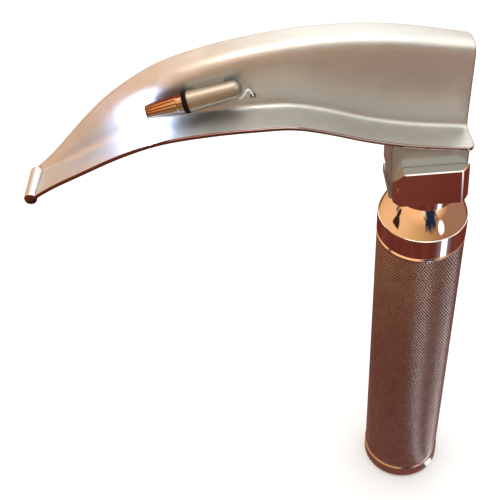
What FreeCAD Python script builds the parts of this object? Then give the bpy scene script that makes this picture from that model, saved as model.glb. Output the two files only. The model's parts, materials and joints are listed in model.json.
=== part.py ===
"""Laryngoscope: a hook-on handle for two C cells, and a size 3 curved blade locked on it.

Frame: millimetres, +Z up the handle's axis, origin at the centre of the cap's underside.
The blade points to -X. Its open side, with the lamp, faces -Y.
"""
import FreeCAD, Part
import math
import os

os.makedirs("parts", exist_ok=True)

# ---- Handle: driving dimensions ----
HANDLE_R = 14.25            # polished collar, the handle's outer radius
TUBE_R = 14.2
TUBE_BORE_R = 13.35
CAP_R = 14.4
CAP_TOP = 6.1
TUBE_TOP = 127.3
COLLAR_TOP = 135.5
DOME_FOOT_R = 14.05
DOME_MIDDLE = (12.0, 139.9)
DOME_TOP = 144.0
DOME_TOP_R = 9.3
FORK_BOTTOM = 147.0
FORK_TOP = 159.6
FORK_BOTTOM_R = 13.4
FORK_TOP_R = 12.9
FORK_HALF_WIDTH = 9.7
FORK_CHAMFER = 0.3
NOSE_TOP_X = -8.6           # where the fork's top ends and its nose starts to slope down
NOSE_FRONT_X = -11.9
NOSE_FOOT_X = -11.2
NECK_R = 9.3
SLOT_HALF_WIDTH = 6.35
SLOT_FLOOR = 146.2

# ---- Hinge: the pin that the blade hooks on ----
PIN_X = -8.7
PIN_Z = 152.5
PIN_R = 1.6
RUNNING_GAP = 0.05

# ---- Battery compartment ----
CELL_R = 12.95
CELL_BODY = 48.4
CELL_NUB = 1.6
CELL_NUB_R = 3.4
STACK_BOTTOM = 14.5
CAP_FLOOR = 2.5
CAP_SPIGOT_R = TUBE_BORE_R - RUNNING_GAP
CAP_SPIGOT_BORE_R = 11.2
CAP_SPIGOT_TOP = 13.1

# ---- Handle contact ----
INSULATOR_R = 3.95
INSULATOR_FLANGE_R = 13.0
CONTACT_CAVITY_R = 2.5
CONTACT_TIP_R = 1.5
CONTACT_FLANGE_TOP = 142.1
CONTACT_TRAVEL = 1.0
TERMINAL_TOP = 129.0

# ---- Blade base, the block that fills the fork's slot ----
BASE_HALF_WIDTH = 6.25
BASE_FRONT = -12.3
BASE_BACK = 10.5
BASE_BOTTOM = 146.7
BALL_R = 1.5
BALL_X = 7.5
BALL_Z = 153.8
BALL_TRAVEL = 0.35

# ---- Blade: a bent sheet of constant thickness ----
SHEET = 1.25
HEEL_X = 12.0
TIP_X = -118.0
NEAR_EDGE_Y = -7.0
WEB_Y = 5.0
FOLD_RADIUS = 2.2
BEND_RADIUS = 4.6
BEAD_R = 1.95
BEAD_NEAR = (-118.6, -7.7, 159.2)
BEAD_FAR = (-117.8, 6.6, 158.6)
CORNER_RADIUS = 3.0
# Stations along the blade: x, height of the fold, rise of the near edge above it,
# then y and z of the web's upper corner, then y and z of the flange's far edge.
STATIONS = [
    (12.0, 164.2, 1.85, 5.0, 193.0, 14.0, 191.3),
    (-7.0, 167.1, 1.95, 5.0, 196.2, 14.0, 195.6),
    (-20.0, 170.4, 2.05, 5.0, 197.6, 14.0, 197.3),
    (-29.5, 174.0, 1.85, 5.0, 197.8, 14.0, 197.5),
    (-40.0, 177.0, 1.8, 5.0, 197.2, 14.0, 197.2),
    (-51.0, 177.6, 1.45, 5.0, 195.6, 14.0, 195.8),
    (-63.0, 176.9, 1.85, 5.0, 192.8, 13.8, 193.7),
    (-77.7, 174.8, 2.45, 5.1, 187.5, 13.0, 189.7),
    (-87.0, 171.9, 2.7, 5.5, 181.6, 11.8, 185.0),
    (-94.5, 168.8, 2.85, 6.0, 176.0, 10.6, 180.1),
    (-101.0, 165.6, 3.0, 6.4, 170.8, 9.6, 174.4),
    (-107.0, 162.8, 3.1, 6.4, 166.3, 8.5, 168.6),
    (-113.0, 160.5, 2.5, 6.1, 161.9, 7.3, 162.9),
    (-118.0, 158.6, 1.2, 5.9, 159.0, 6.6, 159.3),
]

# ---- Lamp, measured forward along its own axis from the rear of the socket's straight part ----
LAMP_REAR = (-55.7, 1.6, 186.9)
LAMP_TILT = 12.9            # degrees that the axis drops towards the tip
SOCKET_REAR_R = 2.65
SOCKET_FRONT_R = 3.15
SOCKET_LENGTH = 14.0
SOCKET_TAIL = 1.7           # the rounded tail behind the axis's origin
SOCKET_STEM_REAR = 1.9
LEAD_EXIT = 1.4             # where the lead leaves through the socket's wall, low on the web's side
LAMP_BASE_R = 1.9
LAMP_BASE_REAR = 9.6
LAMP_THREAD_R = 2.15
LAMP_THREAD_LENGTH = 3.0
GASKET = 1.2
GASKET_R = 3.25
SHELL_LENGTH = 11.4
SHELL_REAR_R = 3.1
SHELL_FRONT_R = 2.25
LAMP_LENGTH = 28.0
GLASS_R = 1.95
GLASS_REAR = 17.0

# ---- Wiring ----
WIRE_R = 0.3
CONDUIT_R = 1.25
CONDUIT_BORE_R = 0.75
CONDUIT_Y = WEB_Y + SHEET + CONDUIT_R
LEAD_HOLE = (-51.0, 181.6)
WIRE_Z = 161.6              # height at which the lead leaves the base


# ---- Small helpers ----
def vec(x, y, z):
    return FreeCAD.Vector(x, y, z)


def rod(radius, z0, z1, x=0.0, y=0.0):
    """Solid cylinder along Z."""
    return Part.makeCylinder(radius, z1 - z0, vec(x, y, z0))


def cross_rod(radius, y0, y1, x, z):
    """Solid cylinder along Y."""
    return Part.makeCylinder(radius, y1 - y0, vec(x, y0, z), vec(0, 1, 0))


def pipe(outer, inner, z0, z1):
    return rod(outer, z0, z1).cut(rod(inner, z0 - 1, z1 + 1))


def block(x0, x1, y0, y1, z0, z1):
    return Part.makeBox(x1 - x0, y1 - y0, z1 - z0, vec(x0, y0, z0))


def turned(outline):
    """Solid of revolution about Z from an outline of (radius, z) points."""
    points = [vec(r, 0, z) for r, z in outline]
    wire = Part.makePolygon(points + points[:1])
    return Part.Face(wire).revolve(vec(0, 0, 0), vec(0, 0, 1), 360)


def plate_xz(outline, y0, y1):
    """Prism along Y from an outline of (x, z) points."""
    points = [vec(x, y0, z) for x, z in outline]
    wire = Part.makePolygon(points + points[:1])
    return Part.Face(wire).extrude(vec(0, y1 - y0, 0))


def coil(radius, wire_radius, z0, z1, turns):
    """Round-wire spring along Z that fills z0 to z1."""
    height = z1 - z0 - 2 * wire_radius
    helix = Part.makeHelix(height / turns, height, radius)
    helix.translate(vec(0, 0, z0 + wire_radius))
    start = helix.Edges[0]
    section = Part.makeCircle(wire_radius, start.valueAt(start.FirstParameter),
                              start.tangentAt(start.FirstParameter))
    return Part.Wire(helix).makePipeShell([Part.Wire(section)], True, True)


def wire_run(points, radius):
    """Round wire through the points, with a ball at each bend."""
    shape = None
    for start, end in zip(points, points[1:]):
        span = end.sub(start)
        leg = Part.makeCylinder(radius, span.Length, start, span)
        shape = leg if shape is None else shape.fuse(leg)
    for bend in points[1:-1]:
        shape = shape.fuse(Part.makeSphere(radius, bend))
    return shape.removeSplitter()


def write(name, shape):
    shape.exportStep("parts/" + name + ".step")


# ---- Handle ----
def make_handle_tube():
    chamfer = 0.3
    return turned([(TUBE_BORE_R, CAP_TOP), (TUBE_R - chamfer, CAP_TOP), (TUBE_R, CAP_TOP + chamfer),
                   (TUBE_R, TUBE_TOP - chamfer), (TUBE_R - chamfer, TUBE_TOP), (TUBE_BORE_R, TUBE_TOP)])


def make_fork():
    """Tapered round block with two flats and a sloping nose at the pin, on a short round neck."""
    taper = Part.makeCone(FORK_BOTTOM_R, FORK_TOP_R, FORK_TOP - FORK_BOTTOM, vec(0, 0, FORK_BOTTOM))
    fork = taper.common(block(-20, 20, -FORK_HALF_WIDTH, FORK_HALF_WIDTH, FORK_BOTTOM, FORK_TOP))
    upper_edges = [edge for edge in fork.Edges if edge.BoundBox.ZMax > FORK_TOP - 0.01]
    fork = fork.makeChamfer(FORK_CHAMFER, upper_edges)
    above = FORK_TOP + 0.1
    below = FORK_BOTTOM - 0.1
    nose_profile = [(NOSE_TOP_X, above), (NOSE_FRONT_X + 0.4, PIN_Z + 1.7), (NOSE_FRONT_X, PIN_Z - 1.9),
                    (NOSE_FOOT_X, below), (-20, below), (-20, above)]
    nose = plate_xz(nose_profile, -20, 20)
    return fork.cut(nose).fuse(rod(NECK_R, COLLAR_TOP, FORK_BOTTOM))


def make_handle_head():
    """Spigot, collar and dome turned in one piece with the fork."""
    bore_top = 131.0
    spigot_r = TUBE_BORE_R - 0.02
    spigot_bottom = 118.5
    collar = turned([(0, spigot_bottom), (spigot_r, spigot_bottom), (spigot_r, TUBE_TOP),
                     (HANDLE_R - 0.5, TUBE_TOP), (HANDLE_R, TUBE_TOP + 0.5), (HANDLE_R, COLLAR_TOP - 0.1),
                     (HANDLE_R - 0.1, COLLAR_TOP), (0, COLLAR_TOP)])
    foot = vec(DOME_FOOT_R, 0, COLLAR_TOP)
    middle = vec(DOME_MIDDLE[0], 0, DOME_MIDDLE[1])
    crown = vec(DOME_TOP_R, 0, DOME_TOP)
    axis_low = vec(0, 0, COLLAR_TOP)
    axis_high = vec(0, 0, DOME_TOP)
    dome_outline = Part.Wire([Part.makeLine(axis_low, foot), Part.Arc(foot, middle, crown).toShape(),
                              Part.makeLine(crown, axis_high), Part.makeLine(axis_high, axis_low)])
    dome = Part.Face(dome_outline).revolve(vec(0, 0, 0), vec(0, 0, 1), 360)
    head = collar.fuse([dome, make_fork()]).removeSplitter()
    slot = block(-20, 20, -SLOT_HALF_WIDTH, SLOT_HALF_WIDTH, SLOT_FLOOR, FORK_TOP + 1)
    head = head.cut(slot)
    head = head.cut(rod(10.5, spigot_bottom - 1, bore_top))
    head = head.cut(rod(INSULATOR_R + 0.03, spigot_bottom - 1, SLOT_FLOOR + 1))
    head = head.cut(cross_rod(PIN_R, -8.6, FORK_HALF_WIDTH + 1, PIN_X, PIN_Z))
    for side in (-1, 1):
        dimple_y = side * (BASE_HALF_WIDTH - BALL_R + BALL_TRAVEL)
        head = head.cut(Part.makeSphere(BALL_R + RUNNING_GAP, vec(BALL_X, dimple_y, BALL_Z)))
    return head


def make_hinge_pin():
    return cross_rod(PIN_R, -8.6, FORK_HALF_WIDTH - 0.05, PIN_X, PIN_Z)


def make_contact_insulator():
    """Nylon bush up the head's bore, with a flange that closes the battery tube."""
    foot = 115.5
    bush = rod(INSULATOR_R, foot, SLOT_FLOOR - 0.2).fuse(rod(INSULATOR_FLANGE_R, foot, 118.5))
    cavity_top = CONTACT_FLANGE_TOP + CONTACT_TRAVEL
    bush = bush.cut(rod(CONTACT_CAVITY_R, foot - 1, cavity_top))
    return bush.cut(rod(CONTACT_TIP_R + RUNNING_GAP, cavity_top - 1, SLOT_FLOOR)).removeSplitter()


def make_contact_plunger():
    tip = BASE_BOTTOM - RUNNING_GAP
    return turned([(0, CONTACT_FLANGE_TOP - 1), (2.4, CONTACT_FLANGE_TOP - 1), (2.4, CONTACT_FLANGE_TOP),
                   (CONTACT_TIP_R, CONTACT_FLANGE_TOP), (CONTACT_TIP_R, tip - 0.7), (1.2, tip - 0.25),
                   (0.7, tip), (0, tip)])


def make_contact_spring():
    return coil(1.9, 0.25, TERMINAL_TOP, CONTACT_FLANGE_TOP - 1, 7)


def make_contact_terminal():
    stack_top = STACK_BOTTOM + 2 * (CELL_BODY + CELL_NUB)
    return rod(4.0, stack_top, 115.5).fuse(rod(CONTACT_CAVITY_R - 0.02, 115.5, TERMINAL_TOP)).removeSplitter()


def make_cell(bottom):
    """C cell: steel can in its jacket, with a rolled-in rim at each end."""
    top = bottom + CELL_BODY
    return turned([(0, bottom), (CELL_R - 1.6, bottom), (CELL_R - 0.3, bottom + 0.5), (CELL_R, bottom + 1.0),
                   (CELL_R, top - 1.0), (CELL_R - 0.4, top - 0.3), (CELL_R - 1.6, top),
                   (CELL_R - 2.0, top - 0.4), (0, top - 0.4)])


def make_positive_cap(bottom):
    seat = bottom + CELL_BODY - 0.4
    top = bottom + CELL_BODY + CELL_NUB
    return turned([(0, seat), (8.0, seat), (8.0, seat + 0.3), (CELL_NUB_R, seat + 0.3),
                   (CELL_NUB_R, top - 0.3), (CELL_NUB_R - 0.3, top), (0, top)])


def make_battery_spring():
    return coil(8.5, 0.55, CAP_FLOOR, STACK_BOTTOM, 5)


def make_bottom_cap():
    """Screw cap: plain rim, spigot into the tube, groove for the seal."""
    body = turned([(0, 0), (CAP_R - 1.2, 0), (CAP_R - 0.35, 0.35), (CAP_R, 1.2), (CAP_R, CAP_TOP - 0.5),
                   (CAP_R - 0.5, CAP_TOP), (CAP_SPIGOT_R, CAP_TOP), (CAP_SPIGOT_R, 6.4), (12.1, 6.4),
                   (12.1, 7.7), (CAP_SPIGOT_R, 7.7), (CAP_SPIGOT_R, CAP_SPIGOT_TOP - 0.4),
                   (CAP_SPIGOT_R - 0.4, CAP_SPIGOT_TOP), (CAP_SPIGOT_BORE_R, CAP_SPIGOT_TOP),
                   (CAP_SPIGOT_BORE_R, CAP_FLOOR), (0, CAP_FLOOR)])
    return body


def make_cap_o_ring():
    return Part.makeTorus(12.72, 0.6, vec(0, 0, 7.05), vec(0, 0, 1))


# ---- Blade ----
def smooth_value(x, column):
    """Value of one station column at x: a cubic through the stations with smooth slopes."""
    xs = [row[0] for row in STATIONS]
    ys = [row[column] for row in STATIONS]
    last = len(xs) - 1

    def slope(i):
        low = max(i - 1, 0)
        high = min(i + 1, last)
        return (ys[high] - ys[low]) / (xs[high] - xs[low])

    i = 0
    while i < last - 1 and x < xs[i + 1]:
        i += 1
    span = xs[i + 1] - xs[i]
    t = (x - xs[i]) / span
    a = (1 + 2 * t) * (1 - t) ** 2 * ys[i] + t * t * (3 - 2 * t) * ys[i + 1]
    return a + span * (t * (1 - t) ** 2 * slope(i) + t * t * (t - 1) * slope(i + 1))


def rounded_line(corners, radii, straight_steps, arc_steps):
    """Open polyline of (y, z) corners with its inner corners rounded, as evenly spread points."""
    points = []
    start = corners[0]
    for i in range(1, len(corners)):
        corner = corners[i]
        if i == len(corners) - 1:
            points += [lerp(start, corner, k / straight_steps) for k in range(straight_steps + 1)]
            break
        before = math.dist(corners[i - 1], corner)
        after = math.dist(corner, corners[i + 1])
        reach = min(radii[i - 1], 0.47 * before, 0.47 * after)
        entry = lerp(corner, corners[i - 1], reach / before)
        leave = lerp(corner, corners[i + 1], reach / after)
        points += [lerp(start, entry, k / straight_steps) for k in range(straight_steps)]
        for k in range(arc_steps):
            t = k / arc_steps
            points.append(lerp(lerp(entry, corner, t), lerp(corner, leave, t), t))
        start = leave
    return points


def lerp(a, b, t):
    return (a[0] + (b[0] - a[0]) * t, a[1] + (b[1] - a[1]) * t)


def section_points(x):
    """Closed section of the blade at x, with round edges: from the web over the flange and back."""
    fold_z = smooth_value(x, 1)
    corners = [(NEAR_EDGE_Y, fold_z + smooth_value(x, 2)), (WEB_Y, fold_z),
               (smooth_value(x, 3), smooth_value(x, 4)), (smooth_value(x, 5), smooth_value(x, 6))]
    front = rounded_line(corners, [FOLD_RADIUS * 1.3, BEND_RADIUS * 1.3], 4, 6)
    back = []
    last = len(front) - 1
    for i, (y, z) in enumerate(front):
        ahead = front[min(i + 1, last)]
        behind = front[max(i - 1, 0)]
        reach = SHEET / math.dist(ahead, behind)
        back.append((y + reach * (ahead[1] - behind[1]), z - reach * (ahead[0] - behind[0])))
    far_edge = round_end(front[-1], back[-1])
    near_edge = round_end(back[0], front[0])
    loop = front + far_edge + back[::-1] + near_edge
    mid_web = len(front) // 2
    return loop[mid_web:] + loop[:mid_web]


def round_end(start, end):
    """Three points of the half circle from start to end, on the outer side of the sheet's edge."""
    centre = lerp(start, end, 0.5)
    arm = (start[0] - centre[0], start[1] - centre[1])
    points = []
    for angle in (45, 90, 135):
        c = math.cos(math.radians(angle))
        s = math.sin(math.radians(angle))
        points.append((centre[0] + arm[0] * c + arm[1] * s, centre[1] + arm[1] * c - arm[0] * s))
    return points


def sheet_solid(stations):
    """Closed B-spline tube whose control points are the sections, with a flat cap at each end."""
    poles = [[vec(x, y, z) for y, z in section_points(x)] for x in stations]
    along = len(poles) - 3
    around = len(poles[0])
    surface = Part.BSplineSurface()
    surface.buildFromPolesMultsKnots(poles, [4] + [1] * (along - 1) + [4], [1] * (around + 1),
                                     list(range(along + 1)), list(range(around + 1)), False, True, 3, 3)
    skin = surface.toShape()
    rims = [edge for edge in skin.Edges if edge.BoundBox.XLength < 0.01]
    caps = [Part.Face(Part.Wire([rim])) for rim in rims]
    shell = Part.makeShell([skin] + caps)
    shell.sewShape()
    solid = Part.makeSolid(shell)
    if solid.Volume < 0:
        solid.reverse()
    return solid


def make_blade():
    """Spatula, web and flange as one bent sheet, with the beaded tip and rounded heel corners."""
    steps = 32
    sheet = sheet_solid([HEEL_X + (TIP_X - HEEL_X) * i / steps for i in range(steps + 1)])
    along_bead = vec(*BEAD_FAR).sub(vec(*BEAD_NEAR))
    bead = Part.makeCylinder(BEAD_R, along_bead.Length, vec(*BEAD_NEAR), along_bead)
    rims = [edge for edge in bead.Edges if edge.isClosed() and edge.Length < 14]
    bead = bead.makeFillet(BEAD_R * 0.6, rims)
    blade = sheet.fuse(bead)
    blade = blade.cut(heel_corner(NEAR_EDGE_Y - SHEET / 2, 1, 155, 180))
    blade = blade.cut(heel_corner(smooth_value(HEEL_X, 5) + SHEET / 2, -1, 185, 200))
    hole_x, hole_z = LEAD_HOLE
    return blade.cut(cross_rod(0.7, 0, 9, hole_x, hole_z))


def heel_corner(edge_y, inward, z0, z1):
    """Waste to cut so that a heel corner has a round outline in plan."""
    centre_x = HEEL_X - CORNER_RADIUS
    centre_y = edge_y + inward * CORNER_RADIUS
    outside = edge_y - inward * 2
    waste = block(centre_x, HEEL_X + 1, min(outside, centre_y), max(outside, centre_y), z0, z1)
    return waste.cut(rod(CORNER_RADIUS, z0, z1, centre_x, centre_y))


def space_above_base():
    """Everything above the spatula's underside, less a solder gap."""
    width = WEB_Y - NEAR_EDGE_Y
    solder_gap = 0.04
    rows = []
    for i in range(9):
        x = HEEL_X - i * (HEEL_X - BASE_FRONT + 1) / 8
        rise = smooth_value(x, 2) / width
        under = smooth_value(x, 1) - SHEET * math.hypot(1, rise) - solder_gap
        rows.append([vec(x, y, under + rise * (WEB_Y - y)) for y in (-9, 9)])
    surface = Part.BSplineSurface()
    surface.buildFromPolesMultsKnots(rows, [4, 1, 1, 1, 1, 1, 4], [2, 2], list(range(7)), [0, 1],
                                     False, False, 3, 1)
    return surface.toShape().extrude(vec(0, 0, 40))


def make_blade_base():
    """Block in the fork's slot, hooked over the pin at its front."""
    base = block(BASE_FRONT, BASE_BACK, -BASE_HALF_WIDTH, BASE_HALF_WIDTH, BASE_BOTTOM, 180)
    base = base.cut(space_above_base())
    heel_r = PIN_Z - BASE_BOTTOM
    lip = block(BASE_FRONT - 1, PIN_X, -10, 10, BASE_BOTTOM - 1, PIN_Z)
    base = base.cut(lip.cut(cross_rod(heel_r, -10, 10, PIN_X, PIN_Z)))
    notch_r = PIN_R + RUNNING_GAP
    base = base.cut(cross_rod(notch_r, -10, 10, PIN_X, PIN_Z))
    base = base.cut(block(BASE_FRONT - 1, PIN_X, -10, 10, PIN_Z - notch_r, PIN_Z + notch_r))
    base = base.cut(cross_rod(BALL_R + RUNNING_GAP, -10, 10, BALL_X, BALL_Z))
    base = base.cut(rod(2.62, BASE_BOTTOM - 1, BASE_BOTTOM + 3.0))
    base = base.cut(rod(0.6, BASE_BOTTOM, WIRE_Z))
    base = base.cut(cross_rod(0.6, 0, 10, 0, WIRE_Z))
    return base.cut(Part.makeSphere(0.6, vec(0, 0, WIRE_Z)))


def make_blade_insulator():
    return pipe(2.6, 1.55, BASE_BOTTOM, BASE_BOTTOM + 3.0)


def make_blade_button():
    return rod(1.53, BASE_BOTTOM, BASE_BOTTOM + 3.0)


def make_ball(side):
    return Part.makeSphere(BALL_R, vec(BALL_X, side * (BASE_HALF_WIDTH - BALL_R), BALL_Z))


def make_detent_spring():
    reach = BASE_HALF_WIDTH - 2 * BALL_R
    spring = coil(1.05, 0.22, -reach, reach, 6)
    spring.rotate(vec(0, 0, 0), vec(1, 0, 0), 90)
    spring.translate(vec(BALL_X, 0, BALL_Z))
    return spring


# ---- Wiring ----
def lead_points():
    """The lead from the socket's contact, out of its wall and over a small hump to the web's hole."""
    hole_x, hole_z = LEAD_HOLE
    outside = place_lamp(Part.Vertex(-2.26, 2.26, LEAD_EXIT)).Point
    return [on_lamp_axis(SOCKET_STEM_REAR - 0.05), on_lamp_axis(LEAD_EXIT), outside,
            vec(-54.8, 2.7, 182.7), vec(-53.6, 2.7, 183.9), vec(-52.9, 3.0, 184.8), vec(-52.3, 3.3, 184.9),
            vec(-51.7, 3.8, 184.0), vec(hole_x, 4.4, hole_z + 0.5), vec(hole_x, WEB_Y, hole_z),
            vec(hole_x, CONDUIT_Y, hole_z)]


def conduit_points():
    hole_x, hole_z = LEAD_HOLE
    return [vec(hole_x, CONDUIT_Y, hole_z), vec(-8, CONDUIT_Y, 171.5), vec(0, CONDUIT_Y, WIRE_Z)]


def make_lamp_lead():
    """Insulated wire from the lamp socket, through the web and conduit, to the base's button."""
    inner_end = [vec(0, 0, WIRE_Z), vec(0, 0, BASE_BOTTOM + 3.0)]
    return wire_run(lead_points() + conduit_points()[1:] + inner_end, WIRE_R)


def make_wire_conduit():
    """Steel tube on the web's back, from the lead's hole down to the base."""
    path = conduit_points()
    web_back = WEB_Y + SHEET
    path = [vec(path[0].x, web_back, path[0].z)] + path + [vec(0, BASE_HALF_WIDTH, WIRE_Z)]
    tube = wire_run(path, CONDUIT_R)
    bore = wire_run([path[0].sub(vec(0, 1, 0))] + path[1:-1] + [path[-1].sub(vec(0, 1, 0))], CONDUIT_BORE_R)
    return tube.cut(bore)


# ---- Lamp ----
def lamp_forward():
    """Unit vector along the lamp's axis, towards the tip."""
    tilt = math.radians(LAMP_TILT)
    return vec(-math.cos(tilt), 0, -math.sin(tilt))


def on_lamp_axis(distance):
    return vec(*LAMP_REAR).add(lamp_forward() * distance)


def place_lamp(shape):
    """Move a lamp part from its own axis (+Z forward from the socket's rear) to its place."""
    turn = FreeCAD.Rotation(vec(0, 0, 1), lamp_forward())
    shape.Placement = FreeCAD.Placement(vec(*LAMP_REAR), turn).multiply(shape.Placement)
    return shape


def socket_body():
    """The socket's outside as a solid, on the lamp's own axis: a slim taper with a domed tail."""
    barrel = turned([(0, 0), (SOCKET_REAR_R, 0), (SOCKET_FRONT_R, SOCKET_LENGTH), (0, SOCKET_LENGTH)])
    ball_r = (SOCKET_REAR_R ** 2 + SOCKET_TAIL ** 2) / (2 * SOCKET_TAIL)
    ball = Part.makeSphere(ball_r, vec(0, 0, ball_r - SOCKET_TAIL))
    return barrel.fuse(ball.common(rod(SOCKET_REAR_R, -SOCKET_TAIL, 0.1))).removeSplitter()


def make_lamp_socket():
    body = socket_body().cut(rod(LAMP_THREAD_R + RUNNING_GAP, 9.0, SOCKET_LENGTH + 1))
    lead_hole = Part.makeCylinder(0.45, 4, vec(0, 0, LEAD_EXIT), vec(-1, 1, 0))
    return place_lamp(body.cut(rod(1.9, 0.6, 9.5)).cut(lead_hole))


def make_socket_insulator():
    return place_lamp(pipe(1.88, 0.85, 2.0, 8.0))


def make_socket_contact():
    stem = rod(0.83, SOCKET_STEM_REAR, 8.0)
    return place_lamp(stem.fuse(rod(1.5, 8.0, 8.6)).removeSplitter())


def make_socket_bracket():
    """Saddle between the socket and the web."""
    solder_gap = 0.03
    saddle = block(-1.4, 1.4, 0, WEB_Y - LAMP_REAR[1] - solder_gap, 3.0, 12.0)
    return place_lamp(saddle.cut(socket_body()))


def make_lamp_gasket():
    return place_lamp(pipe(GASKET_R, LAMP_THREAD_R + RUNNING_GAP, SOCKET_LENGTH, SOCKET_LENGTH + GASKET))


def make_lamp_shell():
    """Brass bulb shell: thread at the rear, tapered barrel in front, open for the glass."""
    thread_rear = SOCKET_LENGTH - LAMP_THREAD_LENGTH
    barrel = SOCKET_LENGTH + GASKET
    front = barrel + SHELL_LENGTH
    body = turned([(0, LAMP_BASE_REAR), (LAMP_BASE_R, LAMP_BASE_REAR), (LAMP_BASE_R, thread_rear),
                   (LAMP_THREAD_R, thread_rear), (LAMP_THREAD_R, barrel), (SHELL_REAR_R, barrel),
                   (SHELL_REAR_R, barrel + 2.0), (SHELL_FRONT_R, front), (0, front)])
    body = body.cut(rod(GLASS_R + 0.02, GLASS_REAR, front + 1))
    return place_lamp(body.cut(rod(1.2, LAMP_BASE_REAR - 1, GLASS_REAR + 1)))


def make_lamp_glass():
    """Closed bulb with a domed front and a flat rear."""
    dome_start = LAMP_LENGTH - GLASS_R
    outer = rod(GLASS_R, GLASS_REAR, dome_start).fuse(Part.makeSphere(GLASS_R, vec(0, 0, dome_start)))
    inner_r = GLASS_R - 0.35
    inner = rod(inner_r, GLASS_REAR + 1.0, dome_start).fuse(Part.makeSphere(inner_r, vec(0, 0, dome_start)))
    return place_lamp(outer.cut(inner).removeSplitter())


def make_lamp_filament():
    """Two support posts and the bowed filament between them, inside the bulb."""
    foot = GLASS_REAR + 1.0
    height = 24.8
    points = [vec(-0.8, 0, foot), vec(-0.8, 0, height), vec(-0.35, 0, height + 0.8),
              vec(0.35, 0, height + 0.8), vec(0.8, 0, height), vec(0.8, 0, foot)]
    return place_lamp(wire_run(points, 0.13))


def make_lamp_insulator():
    rear = LAMP_BASE_REAR - 0.4
    disc = pipe(1.8, 0.7, rear, LAMP_BASE_REAR)
    return place_lamp(disc.fuse(pipe(1.18, 0.7, LAMP_BASE_REAR, GLASS_REAR - 1.0)).removeSplitter())


def make_lamp_centre_contact():
    rear = LAMP_BASE_REAR - 0.4
    tip = Part.makeSphere(1.2, vec(0, 0, rear + 0.55)).common(rod(2, rear - 0.6, rear))
    return place_lamp(tip.fuse(rod(0.68, rear, GLASS_REAR - 1.5)).removeSplitter())


# ---- Assembly ----
def write_handle():
    write("handle_tube", make_handle_tube())
    write("handle_head", make_handle_head())
    write("hinge_pin", make_hinge_pin())
    write("handle_contact_insulator", make_contact_insulator())
    write("handle_contact_plunger", make_contact_plunger())
    write("handle_contact_spring", make_contact_spring())
    write("handle_contact_terminal", make_contact_terminal())
    upper = STACK_BOTTOM + CELL_BODY + CELL_NUB
    write("battery_lower", make_cell(STACK_BOTTOM))
    write("battery_upper", make_cell(upper))
    write("battery_positive_caps", Part.Compound([make_positive_cap(STACK_BOTTOM), make_positive_cap(upper)]))
    write("battery_spring", make_battery_spring())
    write("bottom_cap", make_bottom_cap())
    write("cap_o_ring", make_cap_o_ring())


def write_blade():
    write("blade", make_blade())
    write("blade_base", make_blade_base())
    write("blade_contact_insulator", make_blade_insulator())
    write("blade_contact_button", make_blade_button())
    write("detent_ball_left", make_ball(-1))
    write("detent_ball_right", make_ball(1))
    write("detent_spring", make_detent_spring())
    write("wire_conduit", make_wire_conduit())
    write("lamp_lead", make_lamp_lead())


def write_lamp():
    write("lamp_socket", make_lamp_socket())
    write("socket_bracket", make_socket_bracket())
    write("socket_contact", make_socket_contact())
    write("socket_insulator", make_socket_insulator())
    write("lamp_gasket", make_lamp_gasket())
    write("lamp_shell", make_lamp_shell())
    write("lamp_glass", make_lamp_glass())
    write("lamp_filament", make_lamp_filament())
    write("lamp_insulator", make_lamp_insulator())
    write("lamp_centre_contact", make_lamp_centre_contact())


write_handle()
write_blade()
write_lamp()
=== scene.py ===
"""Laryngoscope, locked on and lit: materials, knurled grip, threads, springs, wiring and a studio."""
import json
import math

import bmesh
import bpy
from mathutils import Matrix, Vector

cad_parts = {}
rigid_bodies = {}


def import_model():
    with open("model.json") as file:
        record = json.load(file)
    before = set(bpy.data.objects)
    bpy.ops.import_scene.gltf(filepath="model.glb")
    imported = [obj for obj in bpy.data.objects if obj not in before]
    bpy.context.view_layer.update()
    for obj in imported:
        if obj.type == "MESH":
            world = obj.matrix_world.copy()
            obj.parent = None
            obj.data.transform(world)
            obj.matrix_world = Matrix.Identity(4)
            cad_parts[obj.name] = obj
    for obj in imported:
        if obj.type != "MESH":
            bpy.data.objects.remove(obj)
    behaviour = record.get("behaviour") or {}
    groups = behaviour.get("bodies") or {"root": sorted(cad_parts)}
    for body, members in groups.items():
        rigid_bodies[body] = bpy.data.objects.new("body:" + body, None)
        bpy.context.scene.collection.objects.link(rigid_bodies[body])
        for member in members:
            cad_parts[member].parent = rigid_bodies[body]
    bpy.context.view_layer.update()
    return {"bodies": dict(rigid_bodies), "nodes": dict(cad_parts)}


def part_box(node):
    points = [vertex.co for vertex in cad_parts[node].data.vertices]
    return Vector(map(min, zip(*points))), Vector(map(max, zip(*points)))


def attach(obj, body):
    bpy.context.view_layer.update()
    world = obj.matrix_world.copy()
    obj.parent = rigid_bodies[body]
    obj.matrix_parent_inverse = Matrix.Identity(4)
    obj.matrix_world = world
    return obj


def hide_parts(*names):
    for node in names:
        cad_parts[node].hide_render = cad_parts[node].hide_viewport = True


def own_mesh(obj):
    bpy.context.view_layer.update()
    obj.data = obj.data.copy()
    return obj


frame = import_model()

MM = 0.001
NODES = frame["nodes"]

# Places on the object, in millimetres.
NEAR_EDGE = -7.0            # y where the spatula's free edge starts to round
KNURL_R = 14.2
KNURL_DEPTH = 0.18
KNURL_TOP = 126.5           # a plain bright rim follows above
TUBE_BORE_R = 13.35
LAMP_ORIGIN = Vector((-55.7, 1.6, 186.9))
LAMP_TILT = math.radians(12.9)
LAMP_FORWARD = Vector((-math.cos(LAMP_TILT), 0.0, -math.sin(LAMP_TILT)))
THREAD_STEPS = 8            # outline points to one turn of a screw


# ---- Shader helpers ----
def grey(value):
    return (value, value, value)


def dimmed(colour, share):
    return tuple(c * share for c in colour)


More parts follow.
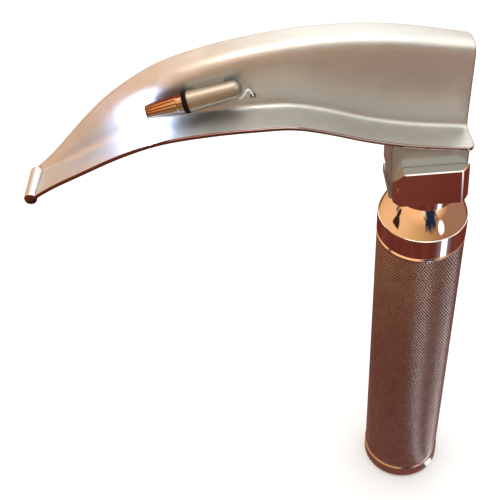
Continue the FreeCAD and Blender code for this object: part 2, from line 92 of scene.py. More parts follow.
class Nodes:
    """Short calls that add nodes to one node tree."""

    def __init__(self, tree):
        self.nodes = tree.nodes
        self.links = tree.links

    def link(self, source, target):
        self.links.new(source, target)

    def add(self, kind, **settings):
        node = self.nodes.new(kind)
        for key, value in settings.items():
            if key in node.inputs:
                node.inputs[key].default_value = value
            else:
                setattr(node, key, value)
        return node

    def plug(self, socket, value):
        """Link a socket or set a number or a colour."""
        if isinstance(value, bpy.types.NodeSocket):
            self.links.new(value, socket)
        elif isinstance(value, tuple) and len(value) == 3 and socket.type == "RGBA":
            socket.default_value = (*value, 1.0)
        else:
            socket.default_value = value

    def ramp(self, source, stops):
        """Colour ramp: stops are (position, colour or grey)."""
        node = self.add("ShaderNodeValToRGB")
        elements = node.color_ramp.elements
        while len(elements) < len(stops):
            elements.new(0.5)
        for element, (position, colour) in zip(elements, stops):
            element.position = position
            element.color = (*(colour if isinstance(colour, tuple) else grey(colour)), 1.0)
        self.links.new(source, node.inputs["Fac"])
        return node.outputs["Color"]

    def step(self, source, low, high):
        """0 below low, 1 above high, smooth between; low may be the greater one."""
        node = self.add("ShaderNodeMapRange", interpolation_type="SMOOTHSTEP")
        self.links.new(source, node.inputs["Value"])
        turned = low > high
        node.inputs["From Min"].default_value = high if turned else low
        node.inputs["From Max"].default_value = low if turned else high
        node.inputs["To Min"].default_value = 1.0 if turned else 0.0
        node.inputs["To Max"].default_value = 0.0 if turned else 1.0
        return node.outputs["Result"]

    def mix(self, factor, a, b, blend="MIX"):
        node = self.add("ShaderNodeMix", data_type="RGBA", blend_type=blend)
        self.plug(node.inputs["Factor"], factor)
        self.plug(node.inputs["A"], a)
        self.plug(node.inputs["B"], b)
        return node.outputs["Result"]

    def math(self, operation, a, b=0.0):
        node = self.add("ShaderNodeMath", operation=operation)
        self.plug(node.inputs[0], a)
        self.plug(node.inputs[1], b)
        return node.outputs[0]

    def split(self, vector):
        node = self.add("ShaderNodeSeparateXYZ")
        self.links.new(vector, node.inputs[0])
        return node.outputs["X"], node.outputs["Y"], node.outputs["Z"]


class Shader(Nodes):
    """A material with one Principled shader, textured in object coordinates."""

    def __init__(self, name, **inputs):
        self.material = bpy.data.materials.new(name)
        self.material.use_nodes = True
        super().__init__(self.material.node_tree)
        self.surface = self.nodes["Principled BSDF"]
        self.output = self.nodes["Material Output"]
        for key, value in inputs.items():
            self.surface.inputs[key.replace("_", " ")].default_value = value
        self._mm = None

    def mm(self):
        """Object coordinates in millimetres."""
        if self._mm is None:
            coordinates = self.add("ShaderNodeTexCoord")
            scale = self.add("ShaderNodeVectorMath", operation="SCALE", Scale=1000.0)
            self.links.new(coordinates.outputs["Object"], scale.inputs[0])
            self._mm = scale.outputs["Vector"]
        return self._mm

    def stretched(self, x, y, z):
        """Object coordinates in millimetres, scaled per axis."""
        node = self.add("ShaderNodeVectorMath", operation="MULTIPLY")
        node.inputs[1].default_value = (x, y, z)
        self.links.new(self.mm(), node.inputs[0])
        return node.outputs["Vector"]

    def noise(self, scale, detail=3.0, roughness=0.55, vector=None):
        node = self.add("ShaderNodeTexNoise", Scale=scale, Detail=detail, Roughness=roughness)
        self.links.new(vector or self.mm(), node.inputs["Vector"])
        return node.outputs["Fac"]

    def bump(self, height, strength, distance_mm):
        node = self.add("ShaderNodeBump", Strength=strength, Distance=distance_mm * MM)
        self.links.new(height, node.inputs["Height"])
        return node.outputs["Normal"]

    def set(self, name, source):
        self.links.new(source, self.surface.inputs[name])


def paint(material, *names):
    for name in names:
        mesh = NODES[name].data
        mesh.materials.clear()
        mesh.materials.append(material)


# ---- Materials ----
# Edge mask: worn paler edges on chrome and turned metal, painted dark reflection on satin steel.
def wear_and_shade_edges(shader, radius_mm):
    """0 on flat stretches, rising to 1 where two faces meet."""
    bevel = shader.add("ShaderNodeBevel", samples=4, Radius=radius_mm * MM)
    geometry = shader.add("ShaderNodeNewGeometry")
    dot = shader.add("ShaderNodeVectorMath", operation="DOT_PRODUCT")
    shader.link(bevel.outputs["Normal"], dot.inputs[0])
    shader.link(geometry.outputs["Normal"], dot.inputs[1])
    return shader.ramp(dot.outputs["Value"], [(0.80, 1.0), (0.995, 0.0)])


def satin_steel(name, tone=(0.55, 0.55, 0.52), rough=(0.37, 0.47), metallic=0.76, grain=0.05):
    """Bead-blasted stainless steel: soft sheen, fine grain, faint wipe marks, and a painted dark
    reflection along the edges.

    The spatula's free edge is polished, and its colour is a painted reflection: dark towards the tip,
    pale towards the heel.
    """
    # edge_shade is a painted dark red-brown reflection along the edges.
    edge_shade = (0.17, 0.07, 0.05)
    # Painted reflection on the polished free edge: dark at the tip, pale at the heel.
    lip_reflection_at_tip = (0.10, 0.040, 0.035)
    lip_reflection_at_heel = (0.30, 0.24, 0.22)
    shader = Shader(name)
    x, y, _ = shader.split(shader.mm())
    lip = shader.step(y, NEAR_EDGE + 0.08, NEAR_EDGE - 0.02)
    lip_painted_reflection = shader.mix(shader.step(x, -70.0, -5.0), lip_reflection_at_tip, lip_reflection_at_heel)
    shader.set("Metallic", shader.mix(lip, grey(metallic), grey(1.0)))
    cloud = shader.noise(0.10, 4.0)
    grit = shader.noise(7.0, 2.0)
    wipes = shader.noise(1.0, 5.0, 0.6, shader.stretched(0.10, 0.8, 0.8))
    patches = shader.mix(0.45, cloud, wipes)
    base = shader.ramp(patches, [(0.35, dimmed(tone, 0.88)), (0.65, tone)])
    speckle = shader.ramp(grit, [(0.3, 0.93), (0.7, 1.0)])
    edges = wear_and_shade_edges(shader, 1.1)
    surface = shader.mix(1.0, base, speckle, "MULTIPLY")
    # Painted dark reflection along the edges.
    surface = shader.mix(edges, surface, edge_shade)
    # The free edge takes the painted reflection colour.
    shader.set("Base Color", shader.mix(lip, surface, lip_painted_reflection))
    satin = shader.ramp(patches, [(0.35, rough[0]), (0.65, rough[1])])
    satin = shader.mix(edges, satin, grey(0.42))
    shader.set("Roughness", shader.mix(lip, satin, grey(0.09)))
    shader.set("Normal", shader.bump(shader.mix(0.5, grit, wipes), grain, 0.05))
    return shader.material


def polished_chrome(name):
    """Chrome plate with handling smears, hairline scratches and edges rubbed paler."""
    tone = (0.80, 0.79, 0.78)
    shader = Shader(name, Metallic=1.0)
    smear = shader.noise(0.25, 5.0, 0.65)
    hair = shader.noise(1.0, 6.0, 0.7, shader.stretched(6.0, 6.0, 0.5))
    edges = wear_and_shade_edges(shader, 0.25)
    base = shader.ramp(smear, [(0.2, dimmed(tone, 0.93)), (0.8, tone)])
    shader.set("Base Color", shader.mix(edges, base, (0.95, 0.90, 0.86)))
    rough = shader.ramp(smear, [(0.35, 0.03), (0.8, 0.09)])
    shader.set("Roughness", shader.mix(edges, rough, grey(0.3)))
    shader.set("Normal", shader.bump(hair, 0.015, 0.02))
    return shader.material


def knurled_chrome():
    """Worn plating: bright crests, valleys darkened by grime and painted shade, and a bright rim at the
    top.
    """
    shader = Shader("knurled_chrome", Metallic=1.0)
    crest = crest_height(shader)
    patch = shader.noise(0.07, 4.0)
    plate = shader.ramp(patch, [(0.3, (0.82, 0.78, 0.78)), (0.7, (0.96, 0.93, 0.94))])
    # Valley colour: grime, with painted shade deepening it.
    grime_and_shade = shader.ramp(shader.noise(0.3, 4.0),
                        [(0.3, (0.12, 0.09, 0.085)), (0.7, (0.24, 0.19, 0.18))])
    height = shader.ramp(crest, [(0.15, 0.0), (0.85, 1.0)])
    _, _, z = shader.split(shader.mm())
    rim = shader.step(z, KNURL_TOP, KNURL_TOP + 0.1)
    # Pale crests, valleys dark with grime and painted shade.
    worn_and_shaded = shader.mix(height, grime_and_shade, plate)
    shader.set("Base Color", shader.mix(rim, worn_and_shaded, (0.95, 0.92, 0.88)))
    rough = shader.ramp(crest, [(0.0, 0.55), (0.9, 0.24)])
    shader.set("Roughness", shader.mix(rim, rough, grey(0.12)))
    return shader.material


def from_axis(shader):
    """Distance to the handle's axis in millimetres."""
    x, y, _ = shader.split(shader.mm())
    square = shader.math("ADD", shader.math("POWER", x, 2.0), shader.math("POWER", y, 2.0))
    return shader.math("SQRT", square)


def crest_height(shader):
    """0 in the knurl's valleys, 1 on its crests."""
    above = shader.math("SUBTRACT", from_axis(shader), KNURL_R - KNURL_DEPTH)
    return shader.math("DIVIDE", above, KNURL_DEPTH)


def turned_metal(name, tone, rough):
    """Lathe-turned metal: fine rings about the handle's axis."""
    shader = Shader(name, Metallic=1.0)
    rings = shader.noise(1.0, 3.0, 0.6, shader.stretched(0.05, 0.05, 14.0))
    cloud = shader.noise(0.2, 4.0)
    edges = wear_and_shade_edges(shader, 0.25)
    base = shader.ramp(cloud, [(0.3, dimmed(tone, 0.9)), (0.7, tone)])
    shader.set("Base Color", shader.mix(edges, base, (0.92, 0.86, 0.80)))
    shader.set("Roughness", shader.ramp(rings, [(0.3, rough[0]), (0.7, rough[1])]))
    shader.set("Normal", shader.bump(rings, 0.10, 0.03))
    return shader.material


def lamp_plating():
    """Nickel on the lamp's shell: heat-tinted towards the bulb, with painted reflection bands, light and
    dark, lengthwise.
    """
    shader = Shader("lamp_nickel", Metallic=1.0)
    x, _, _ = shader.split(shader.mm())
    low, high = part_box("lamp_shell")
    along = shader.math("SUBTRACT", x, low.x / MM)
    along = shader.math("DIVIDE", along, (high.x - low.x) / MM)
    wave = shader.math("ADD", along, shader.math("MULTIPLY", shader.noise(0.6, 4.0), 0.12))
    tint = [(0.06, (0.22, 0.13, 0.08)), (0.20, (0.34, 0.20, 0.11)), (0.45, (0.38, 0.27, 0.18)),
            (0.65, (0.42, 0.35, 0.28))]
    # Painted reflection: light and dark bands set by which way the surface faces.
    coordinates = shader.add("ShaderNodeTexCoord")
    _, across, up = shader.split(coordinates.outputs["Normal"])
    facing = shader.math("MULTIPLY", shader.math("ADD", across, up), 0.35)
    around = shader.math("ADD", facing, 0.5)
    painted_reflection_bands = [(0.08, (0.55, 0.66, 0.80)), (0.20, (0.90, 1.20, 1.55)), (0.27, (0.50, 0.55, 0.62)),
             (0.38, (0.62, 0.62, 0.66)), (0.43, (0.26, 0.18, 0.18)), (0.48, (1.30, 1.35, 1.40)),
             (0.66, (1.50, 1.60, 1.70)), (0.72, (0.34, 0.14, 0.12))]
    # Heat tint times the painted reflection bands.
    tint_and_painted_reflection = shader.mix(1.0, shader.ramp(wave, tint), shader.ramp(around, painted_reflection_bands), "MULTIPLY")
    shader.set("Base Color", tint_and_painted_reflection)
    shader.set("Roughness", shader.ramp(shader.noise(0.8, 5.0), [(0.3, 0.10), (0.7, 0.22)]))
    shader.set("Normal", shader.bump(shader.noise(5.0, 3.0), 0.03, 0.02))
    return shader.material


def brass(name):
    """Bare brass, unevenly tarnished."""
    shader = Shader(name, Metallic=1.0)
    cloud = shader.noise(0.5, 4.0)
    tarnish = [(0.3, (0.62, 0.42, 0.17)), (0.7, (0.80, 0.60, 0.28))]
    shader.set("Base Color", shader.ramp(cloud, tarnish))
    shader.set("Roughness", shader.ramp(cloud, [(0.3, 0.2), (0.7, 0.38)]))
    shader.set("Normal", shader.bump(shader.noise(8.0), 0.04, 0.03))
    return shader.material


def plastic(name, tone, rough=0.45, speckle=0.08, gloss=0.5):
    """Plastic, rubber or sealing glass with a faint grit."""
    shader = Shader(name, IOR=1.5, Specular_IOR_Level=gloss)
    cloud = shader.noise(0.6, 4.0)
    grit = shader.noise(12.0, 2.0)
    shader.set("Base Color", shader.ramp(cloud, [(0.3, dimmed(tone, 1 - speckle)), (0.7, tone)]))
    shader.set("Roughness", shader.ramp(grit, [(0.3, rough), (0.7, rough + 0.12)]))
    shader.set("Normal", shader.bump(grit, 0.05, 0.03))
    return shader.material


def lit_glass():
    """Thin glass of the lit bulb."""
    shader = Shader("lamp_glass", IOR=1.5, Transmission_Weight=1.0,
                    Emission_Color=(0.86, 0.90, 1.0, 1.0), Emission_Strength=6.0)
    frost = shader.noise(6.0, 3.0)
    shader.set("Roughness", shader.ramp(frost, [(0.3, 0.05), (0.7, 0.16)]))
    return shader.material


def paint_nodes():
    """Paint every CAD node, and return the materials that the added pieces share."""
    satin = satin_steel("satin_steel")
    paint(satin, "blade", "wire_conduit", "socket_bracket")
    paint(satin_steel("base_steel", (0.46, 0.50, 0.46), (0.30, 0.42)), "blade_base")
    paint(satin_steel("socket_steel", (0.34, 0.33, 0.28), (0.36, 0.44), 0.85, 0.03), "lamp_socket")
    paint(polished_chrome("polished_chrome"), "handle_head")
    paint(polished_chrome("ball_steel"), "detent_ball_left", "detent_ball_right")
    shell = lamp_plating()
    knurl = knurled_chrome()
    cap = turned_metal("cap_chrome", (0.46, 0.44, 0.41), (0.10, 0.24))
    lead = plastic("lead_insulation", (0.80, 0.79, 0.76), 0.35)
    tungsten = satin_steel("filament", (0.4, 0.4, 0.4))
    paint(shell, "lamp_shell")
    paint(knurl, "handle_tube")
    paint(cap, "bottom_cap")
    paint(lead, "lamp_lead")
    paint(tungsten, "lamp_filament")
    paint(turned_metal("pin_steel", (0.62, 0.61, 0.60), (0.15, 0.3)), "hinge_pin")
    paint(turned_metal("cell_steel", (0.66, 0.65, 0.62), (0.2, 0.4)), "battery_positive_caps")
    spring = satin_steel("spring_steel", (0.50, 0.50, 0.52), (0.2, 0.3), 1.0)
    paint(spring, "battery_spring", "handle_contact_spring", "detent_spring")
    paint(brass("contact_brass"),
          "handle_contact_plunger", "handle_contact_terminal", "blade_contact_button", "socket_contact")
    paint(plastic("nylon", (0.80, 0.77, 0.68)),
          "handle_contact_insulator", "blade_contact_insulator", "socket_insulator")
    paint(plastic("cell_jacket", (0.05, 0.06, 0.09), 0.25), "battery_lower", "battery_upper")
    paint(plastic("seal_rubber", (0.010, 0.008, 0.006), 0.8, 0.3, 0.05),
          "cap_o_ring", "lamp_gasket")
    paint(lit_glass(), "lamp_glass")
    paint(plastic("bead_glass", (0.35, 0.42, 0.44), 0.15), "lamp_insulator")
    paint(satin_steel("solder", (0.6, 0.6, 0.6)), "lamp_centre_contact")
    return {"lamp_shell": shell, "handle_tube": knurl, "bottom_cap": cap, "lamp_lead": lead,
            "lamp_filament": tungsten, "handle_contact_spring": spring}


# ---- Pieces that stand for plain CAD nodes ----
def add_mesh(name, points, faces, material, smooth=False):
    """Mesh piece from points in millimetres, with its faces turned outwards."""
    mesh = bpy.data.meshes.new(name)
    mesh.from_pydata([tuple(c * MM for c in point) for point in points], [], faces)
    work = bmesh.new()
    work.from_mesh(mesh)
    bmesh.ops.recalc_face_normals(work, faces=work.faces)
    work.to_mesh(mesh)
    work.free()
    mesh.polygons.foreach_set("use_smooth", [smooth] * len(mesh.polygons))
    mesh.materials.append(material)
    piece = bpy.data.objects.new(name, mesh)
    bpy.context.scene.collection.objects.link(piece)
    return piece


def stand_in(piece, node, body):
    """Put the piece in the place of a CAD node."""
    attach(piece, body)
    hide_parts(node)


def ring(radius, z, columns):
    """Points of a ring about Z; radius is a number or a function of the column."""
    points = []
    for i in range(columns):
        r = radius(i) if callable(radius) else radius
        angle = math.tau * i / columns
        points.append((r * math.cos(angle), r * math.sin(angle), z))
    return points


def band_faces(lower, upper, columns, diamond_row=None):
    """Faces between two rings; a diamond row splits each square along its groove."""
    faces = []
    for i in range(columns):
        j = (i + 1) % columns
        a, b, c, d = lower + i, lower + j, upper + j, upper + i
        if diamond_row is None:
            faces.append((a, b, c, d))
        elif (i + diamond_row) % 2 == 0:
            faces += [(a, b, c), (a, c, d)]
        else:
            faces += [(a, b, d), (b, c, d)]
    return faces


def sweep(path, radius, sides):
    """Points and faces of a round wire along a path, with flat ends."""
    points = []
    faces = []
    across = Vector((0.0, 1.0, 0.0))
    for i, place in enumerate(path):
        along = (path[min(i + 1, len(path) - 1)] - path[max(i - 1, 0)]).normalized()
        across = (across - along * across.dot(along)).normalized()
        up = along.cross(across)
        for k in range(sides):
            angle = math.tau * k / sides
            points.append(place + (across * math.cos(angle) + up * math.sin(angle)) * radius)
        if i:
            faces += band_faces((i - 1) * sides, i * sides, sides)
    last = (len(path) - 1) * sides
    faces.append(tuple(range(sides)))
    faces.append(tuple(range(last, last + sides)))
    return points, faces


def smooth_path(corners, steps):
    """Smooth curve through the corners, with so many steps between each two."""
    path = []
    last = len(corners) - 1
    for i in range(last):
        before = corners[max(i - 1, 0)]
        start = corners[i]
        end = corners[i + 1]
        after = corners[min(i + 2, last)]
        for k in range(steps):
            t = k / steps
            path.append(0.5 * (2 * start + (end - before) * t
                               + (2 * before - 5 * start + 4 * end - after) * t ** 2
                               + (3 * start - before - 3 * end + after) * t ** 3))
    path.append(corners[-1])
    return path


def lathe(outline, columns, shape, hollow):
    """Points and faces turned about Z from (radius, z) points.

    shape(turn, radius, z) gives the radius at each place, with turn from 0 to 1.
    """
    points = []
    faces = []
    for k, (r, z) in enumerate(outline):
        points += ring(lambda i, r=r, z=z: shape(i / columns, r, z), z, columns)
        if k:
            faces += band_faces((k - 1) * columns, k * columns, columns)
    last = (len(outline) - 1) * columns
    if hollow:
        faces += band_faces(last, 0, columns)
    else:
        faces.append(tuple(range(columns)))
        faces.append(tuple(range(last, last + columns)))
    return points, faces


def thread_depth(turn, z, pitch, depth):
    """How far a helical groove is cut in at a place on a screw."""
    phase = (z / pitch - turn) % 1.0
    return depth * abs(2 * phase - 1)


def thread_rows(radius, z0, z1, pitch):
    """Outline points along a screw."""
    count = round(THREAD_STEPS * (z1 - z0) / pitch)
    return [(radius, z0 + (z1 - z0) * k / count) for k in range(count + 1)]


def make_knurled_tube(material):
    """The grip: pyramids between two families of crossed grooves, plain bands at both ends."""
    columns = 188
    rows = 146
    plain_end = 0.75
    chamfer = 0.2
    rim_step = 0.35
    rim_height = 0.5
    low, high = (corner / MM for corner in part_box("handle_tube"))
    mid = KNURL_R - 0.5 * KNURL_DEPTH
    first = low.z + plain_end
    step = (high.z - low.z - 2 * plain_end) / rows
    points = ring(TUBE_BORE_R, low.z, columns)
    points += ring(mid - chamfer, low.z, columns) + ring(mid, low.z + chamfer, columns)
    splits = [None, None, None]
    for row in range(rows + 1):
        edge_row = row in (0, rows)

        def height(column, row=row):
            return mid if edge_row else KNURL_R - KNURL_DEPTH * ((column + row + 1) % 2)

        points += ring(height, first + row * step, columns)
        splits.append(row)
    points += ring(KNURL_R, high.z - rim_height, columns)
    points += ring(KNURL_R - rim_step, high.z, columns) + ring(TUBE_BORE_R, high.z, columns)
    splits[-1] = None           # the last knurled ring joins the plain rim
    splits += [None, None, None]
    count = len(points) // columns
    faces = []
    for k in range(count):
        faces += band_faces(k * columns, (k + 1) % count * columns, columns, splits[k])
    piece = add_mesh("knurled_grip", points, faces, material)
    stand_in(piece, "handle_tube", "handle")


def make_threaded_cap(material):
    """The bottom cap with its screw thread cut."""
    columns = 128
    rim = 14.4
    rim_top = 6.1
    rim_chamfer = 0.5
    foot_round = 1.2
    spigot = 13.3
    spigot_top = 13.1
    spigot_chamfer = 0.4
    groove = 12.1
    groove_low = 6.4
    groove_high = 7.7
    bore = 11.2
    bore_floor = 2.5
    thread_start = 8.0
    thread_end = 12.5
    pitch = 1.5
    depth = 0.55

    def shape(turn, r, z):
        cut = thread_start < z < thread_end and r > bore
        return r - thread_depth(turn, z, pitch, depth) if cut else r

    outline = [(rim - foot_round, 0), (rim - 0.35, 0.35), (rim, foot_round),
               (rim, rim_top - rim_chamfer), (rim - rim_chamfer, rim_top), (spigot, rim_top),
               (spigot, groove_low), (groove, groove_low), (groove, groove_high), (spigot, groove_high)]
    outline += thread_rows(spigot, thread_start, thread_end, pitch)
    outline += [(spigot - spigot_chamfer, spigot_top), (bore, spigot_top), (bore, bore_floor)]
    points, faces = lathe(outline, columns, shape, False)
    piece = add_mesh("threaded_cap", points, faces, material)
    stand_in(piece, "bottom_cap", "cap")


def on_lamp(points):
    """Move points from the lamp's own axis (+Z forward) to its place."""
    turn = Vector((0.0, 0.0, 1.0)).rotation_difference(LAMP_FORWARD)
    return [LAMP_ORIGIN + turn @ Vector(point) for point in points]


def make_lamp_shell(material):
    """The bulb's shell with its screw thread and a finely fluted barrel."""
    columns = 192
    rear = 9.6
    core_bore = 1.2
    core = 1.9
    core_top = 11.0
    screw = 2.15
    thread_start = 11.2
    thread_end = 15.0
    pitch = 0.6
    depth = 0.2
    collar = 3.1
    barrel = 15.2
    taper = 17.2
    taper_rear = 3.0
    taper_front = 2.25
    front = 26.6
    mouth = 1.97
    mouth_floor = 17.0
    flutes = 24
    flute_depth = 0.07

    def shape(turn, r, z):
        if thread_start < z < thread_end and r > mouth:
            return r - thread_depth(turn, z, pitch, depth)
        if taper < z < front and r > mouth:
            return r - flute_depth * abs(math.sin(math.pi * flutes * turn))
        return r

    outline = [(core_bore, rear), (core, rear), (core, core_top), (screw, core_top)]
    outline += thread_rows(screw, thread_start, thread_end, pitch)
    outline += [(screw, barrel), (collar - 0.2, barrel), (collar, barrel + 0.25), (collar, taper - 0.2),
                (taper_rear, taper), (taper_rear, taper + 0.1), (taper_front + 0.05, front - 0.5),
                (taper_front, front - 0.4), (taper_front - 0.05, front), (mouth, front),
                (mouth, mouth_floor), (core_bore, mouth_floor)]
    points, faces = lathe(outline, columns, shape, True)
    piece = add_mesh("threaded_lamp_shell", on_lamp(points), faces, material)
    stand_in(piece, "lamp_shell", "lamp")


def make_filament(material):
    """Two posts and the coiled wire between them."""
    foot = 18.0
    height = 25.2
    half_span = 0.8
    half_coil = 0.6
    radius = 0.22
    wire = 0.05
    turns = 9
    steps = 14
    path = [Vector((-half_span, 0, foot)), Vector((-half_span, 0, height))]
    for k in range(turns * steps + 1):
        angle = math.tau * k / steps
        along = half_coil * (2 * k / (turns * steps) - 1)
        path.append(Vector((along, radius * math.sin(angle), height + radius * (1 - math.cos(angle)))))
    path += [Vector((half_span, 0, height)), Vector((half_span, 0, foot))]
    points, faces = sweep(path, wire, 8)
    piece = add_mesh("coiled_filament", on_lamp(points), faces, material, True)
    stand_in(piece, "lamp_filament", "lamp")


def make_contact_spring(material):
    """The spring under the contact plunger, in a mesh of its own."""
    foot = 129.0
    head = 141.1
    radius = 1.9
    wire = 0.25
    turns = 7
    steps = 24
    path = []
    for k in range(turns * steps + 1):
        angle = math.tau * k / steps
        height = foot + wire + (head - foot - 2 * wire) * k / (turns * steps)
        path.append(Vector((radius * math.cos(angle), radius * math.sin(angle), height)))
    points, faces = sweep(path, wire, 10)
    piece = add_mesh("contact_coil", points, faces, material, True)
    stand_in(piece, "handle_contact_spring", "handle")
    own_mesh(piece)


def make_lead(material):
    """The lead, curled from the socket to the web's hole, then down the conduit to the base."""
    wire = 0.3
    hole = Vector((-51.0, 5.0, 181.6))
    behind = 7.5                # y of the conduit on the web's back
    out = 1.4                   # where the lead leaves through the socket's wall, along the lamp's axis
    start = on_lamp([(0, 0, 1.85), (0, 0, out), (-1.3, 1.3, out), (-2.26, 2.26, out)])
    hump = [Vector((-54.8, 2.7, 182.7)), Vector((-53.6, 2.7, 183.9)), Vector((-52.8, 3.05, 184.9)),
            Vector((-52.2, 3.4, 184.8)), Vector((-51.6, 3.9, 183.7)), Vector((-51.1, 4.5, 182.1))]
    inside = [hole, Vector((hole.x, behind - 0.3, hole.z)),
              Vector((hole.x + 1.0, behind, hole.z - 0.25))]
    down = [Vector((-30.0, behind, 176.67)), Vector((-8.0, behind, 171.5)),
            Vector((-4.0, behind, 166.55)), Vector((-0.4, behind, 162.1)),
            Vector((0, behind - 0.5, 161.6)), Vector((0, 3.0, 161.6)), Vector((0, 0.3, 161.6)),
            Vector((0, 0, 161.2)), Vector((0, 0, 155.0)), Vector((0, 0, 149.7))]
    points, faces = sweep(smooth_path(start + hump + inside + down, 6), wire, 12)
    piece = add_mesh("curled_lead", points, faces, material, True)
    stand_in(piece, "lamp_lead", "blade")


# ---- Studio ----
CAMERA_PLACE = Vector((-54.7, -222.75, 354.2)) * MM
CAMERA_AIM = Vector((-55.4, 0.0, 123.4)) * MM
CAMERA_ROLL = math.radians(-4.52)
CAMERA_LENS = 71.1
STRIP_BEARING = math.radians(-41.0)     # where the handle mirrors the pale strip
BROWN = (0.05, 0.02, 0.01)


def make_camera():
    data = bpy.data.cameras.new("camera")
    data.lens = CAMERA_LENS
    data.sensor_width = 36.0
    data.clip_start = 0.01
    camera = bpy.data.objects.new("camera", data)
    bpy.context.scene.collection.objects.link(camera)
    camera.location = CAMERA_PLACE
    aim = (CAMERA_AIM - CAMERA_PLACE).to_track_quat("-Z", "Y")
    camera.rotation_mode = "QUATERNION"
    roll = Matrix.Rotation(CAMERA_ROLL, 3, "Z").to_quaternion()
    camera.rotation_quaternion = aim @ roll
    bpy.context.scene.camera = camera


def wall_colour(tree, toward_x):
    """Colour of the warm surroundings: palest on the blade's side, brown behind the heel."""
    half = tree.math("ADD", tree.math("MULTIPLY", toward_x, 0.5), 0.5)
    return tree.ramp(half, [(0.05, (1.15, 0.60, 0.27)), (0.30, (0.84, 0.45, 0.18)),
                            (0.55, (0.66, 0.32, 0.12)), (0.80, (0.46, 0.20, 0.10)),
                            (1.0, (0.44, 0.21, 0.12))])


def patch(tree, direction, bearing, rise, size, ragged=0.0):
    """1 inside a round patch of the surroundings, 0 outside it; bearing, rise and size in degrees."""
    soft_from = 0.72            # share of the patch's reach that is solid
    bearing = math.radians(bearing)
    rise = math.radians(rise)
    toward = tree.add("ShaderNodeVectorMath", operation="DOT_PRODUCT")
    tree.link(direction, toward.inputs[0])
    toward.inputs[1].default_value = (math.cos(rise) * math.cos(bearing),
                                      math.cos(rise) * math.sin(bearing), math.sin(rise))
    edge = tree.math("ARCCOSINE", toward.outputs["Value"])
    if ragged:
        noise = tree.add("ShaderNodeTexNoise", Scale=9.0, Detail=4.0)
        tree.link(direction, noise.inputs["Vector"])
        edge = tree.math("ADD", edge, tree.math("MULTIPLY", noise.outputs["Fac"], ragged))
    reach = math.radians(size) + 0.5 * ragged
    return tree.step(edge, reach, soft_from * reach)


def mirrored_bench(shader):
    """What metal sees instead of the floor: a warm dark bench with one pale strip, then the walls."""
    x, y, _ = shader.split(shader.mm())
    distance = from_axis(shader)
    bearing = shader.math("ARCTAN2", y, x)
    off_strip = shader.math("ABSOLUTE", shader.math("SUBTRACT", bearing, STRIP_BEARING))
    wood = [(0.35, (0.16, 0.028, 0.019)), (0.65, (0.22, 0.050, 0.033))]
    bench = shader.ramp(shader.noise(0.012, 2.0), wood)
    bench = shader.mix(shader.step(distance, 130.0, 40.0), bench, (0.34, 0.12, 0.09))
    glow = shader.step(off_strip, math.radians(26), math.radians(9))
    core = shader.step(off_strip, math.radians(10), math.radians(5))
    bench = shader.mix(glow, bench, (0.27, 0.18, 0.18))
    bench = shader.mix(core, bench, (2.2, 2.1, 2.1))
    walls = wall_colour(shader, shader.math("DIVIDE", x, distance))
    return shader.mix(shader.step(distance, 230.0, 330.0), bench, walls)


def make_floor():
    """Plain pale floor, which stays under the cap when it is unscrewed."""
    mesh = bpy.data.meshes.new("floor")
    reach = 4.0
    mesh.from_pydata([(-reach, -reach, 0), (reach, -reach, 0), (reach, reach, 0), (-reach, reach, 0)],
                     [], [(0, 1, 2, 3)])
    floor = bpy.data.objects.new("floor", mesh)
    bpy.context.scene.collection.objects.link(floor)
    shader = Shader("floor", Roughness=0.8)
    pale = [(0.3, (0.88, 0.88, 0.87)), (0.7, (0.91, 0.91, 0.90))]
    shader.set("Base Color", shader.ramp(shader.noise(0.02, 3.0), pale))
    mirrored = shader.add("ShaderNodeEmission", Strength=1.0)
    shader.link(mirrored_bench(shader), mirrored.inputs["Color"])
    path = shader.add("ShaderNodeLightPath")
    choose = shader.add("ShaderNodeMixShader")
    shader.link(path.outputs["Is Glossy Ray"], choose.inputs[0])
    shader.link(shader.surface.outputs[0], choose.inputs[1])
    shader.link(mirrored.outputs[0], choose.inputs[2])
    shader.link(choose.outputs[0], shader.output.inputs["Surface"])
    mesh.materials.append(shader.material)
    floor.parent = frame["bodies"]["cap_thread_travel"]


def make_key_light():
    """One large soft light above the blade."""
    data = bpy.data.lights.new("key", "AREA")
    data.shape = "RECTANGLE"
    data.size = 0.5
    data.size_y = 0.4
    data.energy = 4.0
    data.color = (1.0, 0.99, 0.96)
    light = bpy.data.objects.new("key", data)
    bpy.context.scene.collection.objects.link(light)
    place = Vector((-0.05, 0.05, 0.85))
    aim = Vector((-0.05, 0.0, 0.15))
    light.location = place
    light.rotation_euler = (aim - place).to_track_quat("-Z", "Y").to_euler()


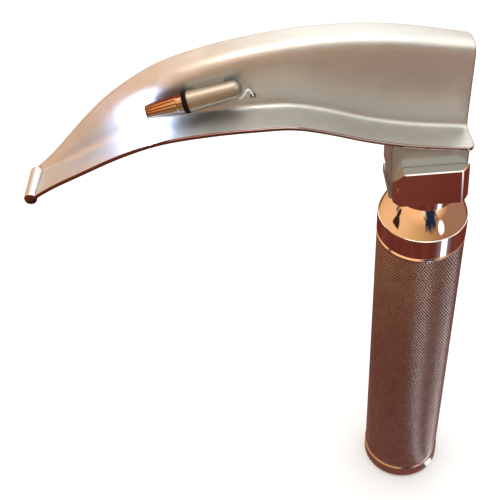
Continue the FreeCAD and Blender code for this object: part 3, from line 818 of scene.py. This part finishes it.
def make_world():
    """Soft white surroundings; metal sees warm walls, a bright ceiling, dark patches and small lights."""
    world = bpy.data.worlds.new("world")
    bpy.context.scene.world = world
    world.use_nodes = True
    tree = Nodes(world.node_tree)
    coordinates = tree.add("ShaderNodeTexCoord")
    direction = coordinates.outputs["Generated"]
    x, y, z = tree.split(direction)
    seen = tree.mix(tree.step(z, 0.20, 0.45), wall_colour(tree, x), (1.35, 0.66, 0.29))
    ceiling = tree.math("MULTIPLY", tree.step(z, 0.34, 0.55), tree.step(x, -0.35, 0.20))
    seen = tree.mix(ceiling, seen, (1.55, 1.50, 1.36))
    back = tree.math("MULTIPLY", tree.step(z, 0.10, 0.25), tree.step(x, -0.40, 0.05))
    back = tree.math("MULTIPLY", back, tree.step(y, 0.30, 0.60))
    seen = tree.mix(back, seen, (2.0, 2.0, 1.95))
    seen = tree.mix(patch(tree, direction, -78, 24, 21, 0.45), seen, (0.015, 0.025, 0.05))
    seen = tree.mix(patch(tree, direction, -168, -1, 12), seen, BROWN)
    seen = tree.mix(patch(tree, direction, -172, 11, 6), seen, BROWN)
    seen = tree.mix(patch(tree, direction, -53, 6, 9), seen, grey(1.6))
    seen = tree.mix(patch(tree, direction, -12, 34, 14), seen, (2.0, 2.0, 1.9))
    path = tree.add("ShaderNodeLightPath")
    background = tree.nodes["Background"]
    colour = tree.mix(path.outputs["Is Glossy Ray"], grey(0.92), seen)
    tree.link(colour, background.inputs["Color"])
    background.inputs["Strength"].default_value = 1.0


def make_lamp_light():
    """The bulb's own light, just in front of its tip, so that it travels with the blade."""
    radius = 1.2 * MM
    ahead = 2.0 * MM
    low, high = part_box("lamp_glass")
    data = bpy.data.lights.new("lamp_light", "POINT")
    data.energy = 0.05
    data.color = (0.44, 0.58, 1.0)
    data.shadow_soft_size = radius
    light = bpy.data.objects.new("lamp_light", data)
    bpy.context.scene.collection.objects.link(light)
    light.location = (low.x - ahead, 0.5 * (low.y + high.y), low.z + radius)
    light.parent = frame["bodies"]["blade"]


def make_studio():
    bpy.context.scene.view_settings.view_transform = "Standard"
    make_camera()
    make_floor()
    make_world()
    make_key_light()
    make_lamp_light()


finishes = paint_nodes()
make_knurled_tube(finishes["handle_tube"])
make_threaded_cap(finishes["bottom_cap"])
make_lamp_shell(finishes["lamp_shell"])
make_filament(finishes["lamp_filament"])
make_contact_spring(finishes["handle_contact_spring"])
make_lead(finishes["lamp_lead"])
make_studio()
